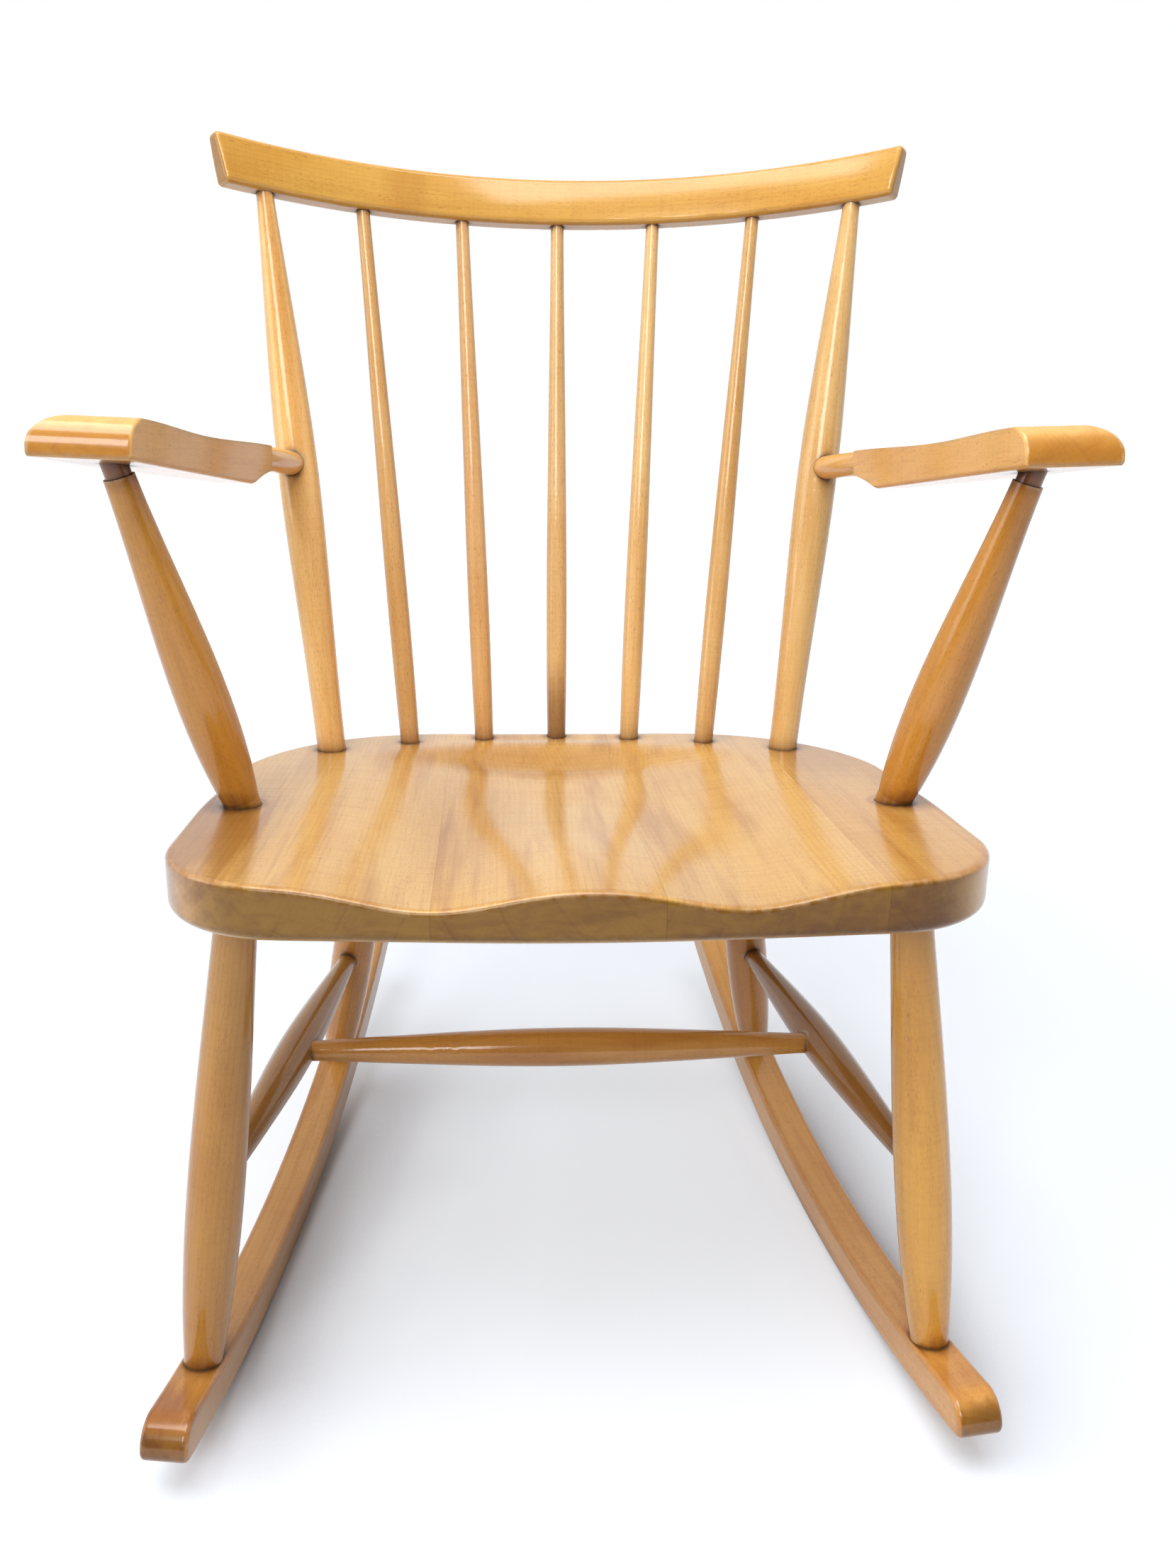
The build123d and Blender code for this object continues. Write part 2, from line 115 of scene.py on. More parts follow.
class Tree:
    """The node tree of one material or world."""

    def __init__(self, owner: Union[bpy.types.Material, bpy.types.World]) -> None:
        """Empties the owner's tree and keeps it.

        Args:
            owner: The material or world to build.
        """
        owner.use_nodes = True
        self.nodes = owner.node_tree.nodes
        self.links = owner.node_tree.links
        self.nodes.clear()

    def node(
        self,
        kind: str,
        settings: Mapping[str, Any] | None = None,
        inputs: Mapping[Union[str, int], Any] | None = None,
    ) -> bpy.types.Node:
        """Adds a node.

        Args:
            kind: Blender's name for the type of node.
            settings: The node's own properties, which are set first.
            inputs: Values or wires by socket name or index.

        Returns:
            The node.
        """
        made = self.nodes.new(kind)
        for name, value in (settings or {}).items():
            setattr(made, name, value)
        for name, value in (inputs or {}).items():
            if isinstance(value, Wire):
                self.links.new(value.socket, made.inputs[name])
            else:
                made.inputs[name].default_value = value
        return made

    def wire(self, kind: str, out: Union[str, int], settings: Any = None, inputs: Any = None) -> Wire:
        """Adds a node and takes one of its outputs.

        Args:
            kind: Blender's name for the type of node.
            out: The output's name or index.
            settings: The node's own properties.
            inputs: Values or wires by socket name or index.

        Returns:
            The output as a wire.
        """
        return Wire(self, self.node(kind, settings, inputs).outputs[out])

    def math(self, operation: str, *terms: Term) -> Wire:
        """One Math node on wires and numbers."""
        return self.wire("ShaderNodeMath", 0, {"operation": operation}, dict(enumerate(terms)))

    def vector_math(self, operation: str, out: str, *terms: Any) -> Wire:
        """One Vector Math node on wires and triples of numbers."""
        return self.wire("ShaderNodeVectorMath", out, {"operation": operation}, dict(enumerate(terms)))

    def smooth(self, value: Wire, span: Span, to: Span = (0.0, 1.0)) -> Wire:
        """A smooth step from one number to another.

        Args:
            value: The wire to read.
            span: The values where the step starts and ends.
            to: What the step runs from and to.

        Returns:
            The stepped wire.
        """
        settings = {"interpolation_type": "SMOOTHSTEP"}
        names = ("From Min", "From Max", "To Min", "To Max")
        ends = {"Value": value, **dict(zip(names, (*span, *to)))}
        return self.wire("ShaderNodeMapRange", "Result", settings, ends)

    def place(self) -> Wire:
        """Where a point is on the object."""
        return self.wire("ShaderNodeTexCoord", "Object")

    def split(self, vector: Wire) -> tuple[Wire, Wire, Wire]:
        """The three coordinates of a vector."""
        made = self.node("ShaderNodeSeparateXYZ", None, {"Vector": vector})
        return Wire(self, made.outputs[0]), Wire(self, made.outputs[1]), Wire(self, made.outputs[2])

    def join(self, x: Term, y: Term, z: Term) -> Wire:
        """A vector of three coordinates."""
        return self.wire("ShaderNodeCombineXYZ", 0, None, {0: x, 1: y, 2: z})

    def dot(self, vector: Wire, axis: Sequence[float]) -> Wire:
        """How far a vector goes along a fixed axis."""
        return self.vector_math("DOT_PRODUCT", "Value", vector, tuple(axis))

    def stretch(self, vector: Wire, by: Sequence[float], shift: Sequence[float]) -> Wire:
        """A vector scaled and shifted along each coordinate."""
        return self.vector_math("MULTIPLY_ADD", "Vector", vector, tuple(by), tuple(shift))

    def length(self, vector: Wire) -> Wire:
        """How long a vector is."""
        return self.vector_math("LENGTH", "Value", vector)

    def tinted(self, colour: Wire, tint: Colour) -> Wire:
        """A colour times three numbers, which may be more than 1."""
        return self.vector_math("MULTIPLY", "Vector", colour, tint)

    def noise(self, vector: Wire, detail: float, rough: float, twist: float = 0.0) -> Wire:
        """Noise of one wave to the unit, about 0.5.

        Args:
            vector: Where the noise is read, already at its scale.
            detail: How many finer layers are added.
            rough: How strong each finer layer is.
            twist: How far the pattern is bent on itself.

        Returns:
            The noise.
        """
        names = ("Vector", "Scale", "Detail", "Roughness", "Distortion")
        inputs = dict(zip(names, (vector, 1.0, detail, rough, twist)))
        return self.wire("ShaderNodeTexNoise", 0, {"noise_dimensions": "3D"}, inputs)

    def mix(self, factor: Term, first: Any, second: Any, blend: str = "MIX") -> Wire:
        """One colour laid over another.

        Args:
            factor: How much of the second colour shows.
            first: The colour below, as a wire or three numbers.
            second: The colour above, as a wire or three numbers.
            blend: Blender's name for the way they mix.

        Returns:
            The mixed colour.
        """
        ends = [c if isinstance(c, Wire) else (*c, 1.0) for c in (first, second)]
        settings = {"data_type": "RGBA", "blend_type": blend, "clamp_factor": True}
        return self.wire("ShaderNodeMix", 2, settings, {0: factor, 6: ends[0], 7: ends[1]})

    def glaze(self, colour: Any, factor: Term, over: Colour) -> Wire:
        """A colour with a darker one glazed over it, as far as the factor says."""
        return self.mix(factor, colour, over, "MULTIPLY")

    def closeness(self, reach: float, samples: int, **settings: bool) -> Wire:
        """How open the space round a point is: 1 in the open, less near another surface.

        Args:
            reach: How far off a surface still counts, in metres.
            samples: How many rays are cast.
            **settings: The Ambient Occlusion node's own switches.

        Returns:
            The openness.
        """
        settings = {"samples": samples, **settings}
        return self.wire("ShaderNodeAmbientOcclusion", "AO", settings, {"Distance": reach})


# ------------------------------------------------------------------ the grain


@dataclass(frozen=True)
class Lay:
    """How the grain lies in a piece: where it is centred, and which way it runs.

    The first column of turn is the way of the grain. A bend of 0 is a straight piece, and any other
    number is the radius in metres at which the piece curves towards the second column.
    """

    centre: Vector
    turn: Matrix
    bend: float = 0.0

    @classmethod
    def along(cls, piece: bpy.types.Object) -> Lay:
        """The lay of a long straight piece, from its own mesh.

        Args:
            piece: The piece of wood.

        Returns:
            A lay whose grain follows the piece's longest way.
        """
        spots = np.empty(len(piece.data.vertices) * 3)
        piece.data.vertices.foreach_get("co", spots)
        spots = spots.reshape(-1, 3)
        middle = (spots.max(0) + spots.min(0)) / 2
        _, ways = np.linalg.eigh(np.cov((spots - middle).T))
        way = Vector(ways[:, 2])
        nearly_level = 0.2
        if way.z < 0 or (abs(way.z) < nearly_level and way.x + way.y < 0):
            way = -way
        return cls(Vector(middle), cls.frame(way, ALONG_Y))

    @staticmethod
    def frame(way: Vector, across: Vector) -> Matrix:
        """A turn that lays the grain along a way.

        Args:
            way: The way of the grain, which is the turn's first column.
            across: What the second column is as near to as it can be.

        Returns:
            The turn.
        """
        first = way.normalized()
        third = first.cross(across).normalized()
        second = third.cross(first)
        return Matrix((first, second, third)).transposed()

    def coordinates(self, tree: Tree) -> tuple[Wire, Wire]:
        """Where a point is in the wood, and how squarely its face cuts across the grain.

        Args:
            tree: The tree to build in.

        Returns:
            The point, with its first coordinate along the grain, and the cut from 0 to 1.
        """
        normal = tree.wire("ShaderNodeTexCoord", "Normal")
        local = tree.wire(
            "ShaderNodeMapping",
            0,
            {"vector_type": "TEXTURE"},
            {"Vector": tree.place(), "Location": self.centre, "Rotation": self.turn.to_euler()},
        )
        ahead, aside = tree.dot(normal, self.turn.col[0]), tree.dot(normal, self.turn.col[1])
        if not self.bend:
            return local, abs(ahead)
        x, y, z = tree.split(local)
        reach = self.bend - y
        angle = tree.math("ARCTAN2", x, reach)
        radius = tree.math("SQRT", x * x + reach * reach)
        sine, cosine = tree.math("SINE", angle), tree.math("COSINE", angle)
        return tree.join(angle * self.bend, self.bend - radius, z), abs(ahead * cosine + aside * sine)


@dataclass(frozen=True)
class Draws:
    """What the drawn numbers of a tone lie between, with pith as its distance from the middle."""

    pith: Span = (28 * MM, 70 * MM)
    depth: Span = (0.38, 0.62)
    streaks: Span = (0.3, 0.8)
    rings: Span = (0.16, 0.40)
    seed: Span = (0.0, 40.0)


@dataclass(frozen=True)
class Tone:
    """What sets one board or stick apart from its neighbours.

    Tint multiplies its colour, depth says how amber it is, streaks and rings how strongly they
    show, pith where its rings are centred across the grain, and seed moves its patterns.
    """

    tint: Colour
    depth: float
    streaks: float
    rings: float
    pith: Span
    seed: float

    @classmethod
    def of(cls, name: str, tint: Colour) -> Tone:
        """A tone that is drawn from a piece's name.

        Args:
            name: The piece's name, which is the seed.
            tint: What the piece's colour is multiplied by.

        Returns:
            The tone.
        """
        draw, spans = random.Random(name), Draws()
        angle = draw.uniform(0, math.tau)
        away = draw.uniform(*spans.pith)
        return cls(
            tint=tint,
            depth=draw.uniform(*spans.depth),
            streaks=draw.uniform(*spans.streaks),
            rings=draw.uniform(*spans.rings),
            pith=(away * math.cos(angle), away * math.sin(angle)),
            seed=draw.uniform(*spans.seed),
        )


@dataclass(frozen=True)
class Pattern:
    """Noise in the wood, by its waves to the metre: along the grain, across it and up.

    Spread says how far a piece's seed moves the noise each way, so that no two pieces are alike.
    """

    waves: Triple
    detail: float = 2.0
    rough: float = 0.5
    twist: float = 0.0
    spread: Triple = (1.0, 0.37, -0.61)

    def read(self, tree: Tree, point: Wire, tone: Tone) -> Wire:
        """The noise at a point of the wood, about 0.5."""
        spot = tree.stretch(point, self.waves, [tone.seed * share for share in self.spread])
        return tree.noise(spot, self.detail, self.rough, self.twist)


@dataclass(frozen=True)
class Grain:
    """What a piece of wood shows at a point."""

    cut: Wire
    rings: Wire
    late: Wire
    fibre: Wire
    streak: Wire
    cloud: Wire
    broad: Wire
    chatter: Wire
    fleck: Wire
    pores: Wire
    blotch: Wire
    scuff: Wire


@dataclass(frozen=True)
class Figure:
    """The figure of beech: yearly rings, fibre, streaks, clouds, rays and tool chatter.

    Ring is a year's width in metres. Sway and drift bend the rings, by as many metres as sway_by
    and drift_by say. Off_lattice keeps the years' noise away from the places where it is flat.
    """

    ring: float = 3.4 * MM
    ring_rise: Span = (0.35, 0.93)
    ring_fall: Span = (1.0, 0.94)
    year_stride: float = 0.37
    year_step: Span = (0.30, 0.70)
    weakest_year: float = 0.25
    sway: Pattern = Pattern((7, 26, 26))
    sway_by: float = 4.5 * MM
    drift: Pattern = Pattern((2.2, 9, 9), 1, 0.4)
    drift_by: float = 14 * MM
    off_lattice: float = 0.5
    fibre: Pattern = Pattern((28, 900, 900), 3, 0.6)
    streak: Pattern = Pattern((5.5, 120, 120), 3, 0.55)
    cloud: Pattern = Pattern((9, 22, 22), 3, 0.55, 0.4)
    broad: Pattern = Pattern((4.5, 48, 48), 2, 0.5, 0.3)
    chatter: Pattern = Pattern((520, 14, 14))
    ray: Pattern = Pattern((260, 2300, 2300), 1)
    ray_step: Span = (0.62, 0.69)
    ray_in_streak: Span = (0.30, 0.55)
    pores: Pattern = Pattern((60, 700, 700), 2, 0.6)
    blotch: Pattern = Pattern((30, 30, 110), 4, 0.65, 0.6)
    scuff: Pattern = Pattern((60, 160, 160), 3, 0.6)

    def grain(self, tree: Tree, lay: Lay, tone: Tone) -> Grain:
        """The patterns of one piece.

        Args:
            tree: The tree to build in.
            lay: How the grain lies in the piece.
            tone: What sets the piece apart.

        Returns:
            The patterns, as wires.
        """
        point, cut = lay.coordinates(tree)
        rings = self.rings(tree, point, tone)
        streak = self.streak.read(tree, point, tone)
        ray = self.ray.read(tree, point, tone)
        return Grain(
            cut=cut,
            rings=rings,
            late=self.late(tree, rings, tone),
            fibre=self.fibre.read(tree, point, tone),
            streak=streak,
            cloud=self.cloud.read(tree, point, tone),
            broad=self.broad.read(tree, point, tone),
            chatter=self.chatter.read(tree, point, tone),
            fleck=tree.smooth(ray, self.ray_step) * tree.smooth(streak, self.ray_in_streak),
            pores=self.pores.read(tree, point, tone),
            blotch=self.blotch.read(tree, point, tone),
            scuff=self.scuff.read(tree, point, tone),
        )

    def rings(self, tree: Tree, point: Wire, tone: Tone) -> Wire:
        """How many yearly rings lie between the pith and a point.

        Args:
            tree: The tree to build in.
            point: The point in the wood.
            tone: What sets the piece apart.

        Returns:
            The count, which grows evenly from ring to ring.
        """
        sway = self.sway.read(tree, point, tone) - NOISE_MIDDLE
        drift = self.drift.read(tree, point, tone) - NOISE_MIDDLE
        _, side, up = tree.split(point)
        off, rise = side - tone.pith[0], up - tone.pith[1]
        radius = tree.math("SQRT", off * off + rise * rise)
        return (radius + sway * self.sway_by + drift * self.drift_by) / self.ring

    def late(self, tree: Tree, rings: Wire, tone: Tone) -> Wire:
        """The dark late wood at the end of each ring, stronger in some years.

        Args:
            tree: The tree to build in.
            rings: The count of rings at a point.
            tone: What sets the piece apart.

        Returns:
            The late wood, from 0 to 1.
        """
        phase = tree.math("FRACT", rings)
        line = tree.math("FLOOR", rings) * self.year_stride + tone.seed
        year = tree.noise(tree.join(line, self.off_lattice, self.off_lattice), 0, 0)
        ring = tree.smooth(phase, self.ring_rise) * tree.smooth(phase, self.ring_fall)
        return ring * tree.smooth(year, self.year_step, (self.weakest_year, 1.0))


# --------------------------------------------------------------- the finishes


@dataclass(frozen=True)
class Stain:
    """A soft-edged place glazed darker, as an ellipsoid, mostly where the varnish has darkened or worn.

    Spot is its middle as shares of a piece's box, so that it stays with that piece, and reach its
    half axes in metres. The wood's clouds and streaks make its edge ragged.
    """

    piece: str
    spot: Triple
    reach: Triple
    strength: float
    colour: Colour = (0.58, 0.46, 0.33)
    ragged: float = 1.6
    ragged_by_cloud: float = 0.35
    ragged_by_streak: float = 0.65
    fade: Span = (1.0, 0.35)

    def mirrored(self) -> Stain:
        """The same stain on the right piece, from one on the left."""
        piece = self.piece.replace(Side.LEFT.value, Side.RIGHT.value)
        return replace(self, piece=piece, spot=(1.0 - self.spot[0], *self.spot[1:]))

    @staticmethod
    def on_both_sides(*lefts: Stain) -> tuple[Stain, ...]:
        """Stains on left pieces, each with its like on the right piece."""
        return tuple(stain for left in lefts for stain in (left, left.mirrored()))

    def centre(self) -> Vector:
        """The stain's middle, in metres."""
        low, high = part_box(self.piece)
        return Vector(a + (b - a) * share for a, b, share in zip(low, high, self.spot))

    def mask(self, tree: Tree, grain: Grain) -> Wire:
        """How strongly the stain shows at a point.

        Args:
            tree: The tree to build in.
            grain: The patterns of the piece that it shows on.

        Returns:
            The strength, 0 outside the stain.
        """
        by = [1.0 / r for r in self.reach]
        shift = [-c / r for c, r in zip(self.centre(), self.reach)]
        away = tree.length(tree.stretch(tree.place(), by, shift))
        noise = grain.cloud * self.ragged_by_cloud + grain.streak * self.ragged_by_streak
        uneven = away + (noise - NOISE_MIDDLE) * self.ragged
        return tree.smooth(uneven, self.fade, (0.0, self.strength))


@dataclass(frozen=True)
class Blank:
    """One piece of wood, as its finish needs to know it.

    Glue lines are the x of the piece's glued seams, and end_dark says how much of the end grain's
    own colour shows.
    """

    lay: Lay
    tone: Tone
    glue_lines: Sequence[float]
    end_dark: float
    stains: Sequence[Stain]


@dataclass(frozen=True)
class Varnish:
    """The varnish's gloss, and the fine relief of the wood under it."""

    gloss: float = 0.95
    coat_rough: float = 0.13
    coat_ior: float = 1.5
    specular: float = 0.12
    rough: float = 0.50
    rough_fibre: float = 0.10
    rough_cloud: float = 0.12
    rough_worn: float = 0.15
    dull_worn: float = 0.25
    dull_dirty: float = 0.5
    dull_ends: float = 0.0
    relief_fibre: float = 0.35
    relief_late: float = 0.25
    relief_fleck: float = -0.6
    relief_cloud: float = 1.5
    bump_strength: float = 0.35
    bump_height: float = 0.12 * MM

    def shader(self, tree: Tree, grain: Grain, colour: Wire, marks: tuple[Wire, Wire, Wire]) -> Wire:
        """The surface of one piece.

        Args:
            tree: The tree to build in.
            grain: The piece's patterns.
            colour: The colour of the wood.
            marks: Where the surface is worn, on the seat partly a painted highlight, where it is dirty and
                where it is end grain.

        Returns:
            The shader.
        """
        worn, dirt, ends = marks
        fibre, cloud = grain.fibre - NOISE_MIDDLE, grain.cloud - NOISE_MIDDLE
        uneven = fibre * self.rough_fibre + cloud * self.rough_cloud
        coat = self.gloss - worn * self.dull_worn - dirt * self.dull_dirty - ends * self.dull_ends
        grooves = grain.fibre * self.relief_fibre + grain.late * self.relief_late
        relief = grooves + grain.fleck * self.relief_fleck + grain.cloud * self.relief_cloud
        bump = tree.wire(
            "ShaderNodeBump",
            "Normal",
            None,
            {"Strength": self.bump_strength, "Distance": self.bump_height, "Height": relief},
        )
        inputs = {
            "Base Color": colour,
            "Roughness": uneven + self.rough + worn * self.rough_worn,
            "Normal": bump,
            "Coat Weight": coat,
            "Coat Roughness": self.coat_rough,
            "Coat IOR": self.coat_ior,
            "Specular IOR Level": self.specular,
        }
        return tree.wire("ShaderNodeBsdfPrincipled", 0, None, inputs)


@dataclass(frozen=True)
class Wear:
    """Where varnish has worn off the edges, where grime has settled between pieces, and where shade is
    painted round them.

    Edge and rim are how far in from an edge the unvarnished wood and the darker rim go; on the seat that
    unvarnished edge is pale enough to be partly a painted highlight. Close and far are how near another
    piece lies where grime settles, and far also how far the painted shade round other pieces reaches. Each
    step is where a mask starts and ends, and each range what it then runs between.
    """

    edge: float = 2.5 * MM
    edge_step: Span = (0.36, 0.62)
    edge_strength: float = 0.80
    rim: float = 0.0
    rim_step: Span = (0.25, 0.65)
    rim_range: Span = (0.45, 1.0)
    convex_step: Span = (0.78, 0.97)
    clear_of_glue: float = 3.0 * MM
    close: float = 5 * MM
    far: float = 18 * MM
    close_share: float = 0.80
    crevice_step: Span = (0.50, 0.96)
    grime_step: Span = (0.15, 0.60)
    grime_range: Span = (0.6, 1.0)
    grime_strength: float = 0.9
    shade_step: Span = (0.3, 0.6)
    shade_range: Span = (0.4, 0.9)
    samples: int = 8

    def crevice(self, tree: Tree, reach: float) -> Wire:
        """1 where another piece of wood comes close, as round a stick's foot, and 0 in the open."""
        return tree.smooth(tree.closeness(reach, self.samples), self.crevice_step, (1.0, 0.0))

    def convex(self, tree: Tree, reach: float) -> Wire:
        """1 along a piece's own outer edges, as far in as the reach, and 0 on its flats."""
        thin = tree.closeness(reach, self.samples, inside=True, only_local=True)
        return tree.smooth(thin, self.convex_step, (1.0, 0.0))

    def away_from_glue(self, tree: Tree, seams: Sequence[Wire]) -> Term:
        """0 at the glued seams, whose edges don't wear, and 1 elsewhere.

        Args:
            tree: The tree to build in.
            seams: How far off each seam is.

        Returns:
            The mask.
        """
        clear: Term = 1.0
        for gap in seams:
            clear = tree.smooth(gap, (self.clear_of_glue, self.clear_of_glue + self.rim)) * clear
        return clear


@dataclass(frozen=True)
class Beech:
    """Beech under a satin varnish that has turned amber, with grime where pieces meet and painted shade
    round them.

    Pale and amber are the wood itself, end is wood cut across the grain, and bare_and_glint is wood without
    varnish, which on the seat is pale enough to be partly a painted highlight along its arrises. Late,
    fibre, fleck, soft and rim are glazes that darken it, and fleck also glazes painted shade round other
    pieces.
    Each step is where a pattern starts to show and where it shows in full.
    """

    pale: Colour = (0.80, 0.505, 0.19)
    amber: Colour = (0.64, 0.31, 0.065)
    late: Colour = (0.80, 0.70, 0.56)
    fibre: Colour = (0.88, 0.83, 0.74)
    fleck: Colour = (0.52, 0.38, 0.26)
    end: Colour = (0.27, 0.132, 0.020)
    soft: Colour = (0.80, 0.69, 0.53)
    grime: Colour = (0.075, 0.036, 0.014)
    bare_and_glint: Colour = (0.58, 0.44, 0.28)
    rim: Colour = (0.74, 0.58, 0.38)

    figure: Figure = Figure()
    varnish: Varnish = Varnish()
    wear: Wear = Wear()

    amber_step: Span = (0.25, 0.80)
    amber_by_cloud: float = 0.40
    amber_by_depth: float = 0.60
    streak_step: Span = (0.48, 0.78)
    least_streak: float = 0.25
    streak_gain: float = 0.60
    broad_step: Span = (0.50, 0.72)
    chatter_step: Span = (0.48, 0.66)
    chatter: float = 0.25
    fibre_step: Span = (0.40, 0.75)
    fibre_strength: float = 0.55
    fleck_strength: float = 0.60

    end_step: Span = (0.62, 0.95)
    end_late: float = 0.12
    wide_ring: float = 9.0
    wide_step: Span = (0.90, 0.97)
    wide_in_blotch: Span = (0.35, 0.6)
    end_wide: float = 0.55
    pore_step: Span = (0.5, 0.8)
    end_pore: float = 0.5
    blotch_step: Span = (0.42, 0.70)
    end_blotch: float = 0.75

    seam_width: Span = (0.10 * MM, 0.5 * MM)
    seam_on_face: float = 0.05
    seam_on_end: float = 0.12

    def material(self, name: str, blank: Blank) -> bpy.types.Material:
        """The finish of one piece.

        Args:
            name: The material's name.
            blank: The piece of wood.

        Returns:
            The material.
        """
        made = bpy.data.materials.new(name)
        tree = Tree(made)
        grain = self.figure.grain(tree, blank.lay, blank.tone)
        ends = tree.smooth(grain.cut, self.end_step)
        seams = [abs(tree.split(tree.place())[0] - line) for line in blank.glue_lines]

        colour = self.face(tree, grain, blank.tone)
        colour = tree.mix(ends * blank.end_dark, colour, self.end_grain(tree, grain))
        colour = tree.tinted(colour, blank.tone.tint)
        for gap in seams:
            seam = tree.smooth(gap, self.seam_width, (1.0, 0.0))
            dark = seam * (self.seam_on_face + self.seam_on_end * ends)
            colour = tree.glaze(colour, dark, self.fleck)
        for stain in blank.stains:
            colour = tree.glaze(colour, stain.mask(tree, grain), stain.colour)
        colour, worn = self.edges(tree, grain, colour, seams)
        colour, dirt = self.crevices(tree, grain, colour)

        shader = self.varnish.shader(tree, grain, colour, (worn, dirt, ends))
        tree.node("ShaderNodeOutputMaterial", None, {"Surface": shader})
        return made

    def face(self, tree: Tree, grain: Grain, tone: Tone) -> Wire:
        """The colour of wood that is cut along the grain.

        Args:
            tree: The tree to build in.
            grain: The piece's patterns.
            tone: What sets the piece apart.

        Returns:
            The colour.
        """
        turn_amber = tree.smooth(grain.cloud, self.amber_step) * self.amber_by_cloud
        colour = tree.mix(turn_amber + self.amber_by_depth * tone.depth, self.pale, self.amber)
        streak = tree.smooth(grain.streak, self.streak_step)
        glazes = (
            (grain.late * tone.rings, self.late),
            (streak * (self.least_streak + self.streak_gain * tone.streaks), self.late),
            (tree.smooth(grain.broad, self.broad_step) * tone.streaks, self.soft),
            (tree.smooth(grain.chatter, self.chatter_step) * self.chatter, self.fibre),
            (tree.smooth(grain.fibre, self.fibre_step) * self.fibre_strength, self.fibre),
            (grain.fleck * self.fleck_strength, self.fleck),
        )
        for factor, over in glazes:
            colour = tree.glaze(colour, factor, over)
        return colour

    def end_grain(self, tree: Tree, grain: Grain) -> Wire:
        """The colour of wood that is cut across the grain.

        Args:
            tree: The tree to build in.
            grain: The piece's patterns.

        Returns:
            The colour.
        """
        wide = tree.smooth(tree.math("FRACT", grain.rings / self.wide_ring), self.wide_step)
        wide = wide * tree.smooth(grain.blotch, self.wide_in_blotch)
        pores = tree.smooth(grain.pores, self.pore_step)
        marks = grain.late * self.end_late + wide * self.end_wide + pores * self.end_pore
        colour = tree.glaze(self.end, marks, self.late)
        blotches = tree.smooth(grain.blotch, self.blotch_step) * self.end_blotch
        return tree.glaze(colour, blotches, self.soft)

    def edges(self, tree: Tree, grain: Grain, colour: Wire, seams: Sequence[Wire]) -> tuple[Wire, Wire]:
        """Rubs the varnish off the outer edges; on the seat the pale edge colour is partly a painted
        highlight along the arrises.

        Args:
            tree: The tree to build in.
            grain: The piece's patterns.
            colour: The colour so far.
            seams: How far off each glued seam is.

        Returns:
            The colour with worn edges, on the seat partly painted highlight, and where they are worn.
        """
        wear = self.wear
        clear = wear.away_from_glue(tree, seams)
        edge = wear.convex(tree, wear.edge) * clear
        if wear.rim:
            rim = wear.convex(tree, wear.rim) * clear
            patchy = tree.smooth(grain.cloud, wear.rim_step, wear.rim_range)
            colour = tree.glaze(colour, rim * patchy, self.rim)
        # On the seat the pale colour laid on these worn edges is partly a painted highlight along the
        # arrises.
        worn = edge * tree.smooth(grain.scuff, wear.edge_step)
        return tree.mix(worn * wear.edge_strength, colour, self.bare_and_glint), worn

    def crevices(self, tree: Tree, grain: Grain, colour: Wire) -> tuple[Wire, Wire]:
        """Lets grime settle where pieces meet, and paints shade further out round them.

        Args:
            tree: The tree to build in.
            grain: The piece's patterns.
            colour: The colour so far.

        Returns:
            The colour with its grime and painted shade, and where the grime is.
        """
        wear = self.wear
        close, far = wear.crevice(tree, wear.close), wear.crevice(tree, wear.far)
        near = close * wear.close_share + far * (1.0 - wear.close_share)
        dirt = near * tree.smooth(grain.scuff, wear.grime_step, wear.grime_range)
        # Painted shade: out to the far reach the wood round other pieces is glazed darker with the fleck
        # colour.
        shade = far * tree.smooth(grain.streak, wear.shade_step, wear.shade_range)
        colour = tree.glaze(colour, shade, self.fleck)
        return tree.mix(dirt * wear.grime_strength, colour, self.grime), dirt


# ------------------------------------------------------------------ the chair


class Side(Enum):
    """The two sides of the chair: the right one is at +x, on the viewer's right."""

    RIGHT = "right"
    LEFT = "left"

    @classmethod
    def both(cls, *kinds: str) -> list[str]:
        """The names of both pieces of each kind."""
        return [f"{kind}_{side.value}" for kind in kinds for side in cls]


@dataclass
class Assembly:
    """One sub-assembly of the chair and its finish."""

    nodes: dict[str, bpy.types.Object]
    finish: Beech = Beech()
    tints: Mapping[str, Colour] = field(default_factory=dict)
    end_dark: float = 0.85
    stains: tuple[Stain, ...] = ()

    def names(self) -> list[str]:
        """The names of the pieces in this sub-assembly."""
        raise NotImplementedError

    def lay(self, name: str) -> Lay:
        """How the grain lies in a piece."""
        return Lay.along(self.nodes[name])

    def tone(self, name: str) -> Tone:
        """What sets a piece apart."""
        return Tone.of(name, self.tints.get(name, PLAIN))

    def glue_lines(self, name: str) -> list[float]:
        """The x of the glued seams of a piece, of which most have none."""
        return []

    def dress(self) -> None:
        """Gives every piece its finish."""
        for name in self.names():
            lay, tone, glue_lines = self.lay(name), self.tone(name), self.glue_lines(name)
            blank = Blank(lay, tone, glue_lines, self.end_dark, self.stains)
            material = self.finish.material(f"beech_{name}", blank)
            slots = self.nodes[name].data.materials
            slots.clear()
            slots.append(material)
            log.info("%s wears %s", name, material.name)


@dataclass(frozen=True)
class Plank:
    """The plank that a seat board was cut from, as its tone says it."""

    tint: Colour
    depth: float
    streaks: float
    pith: Span


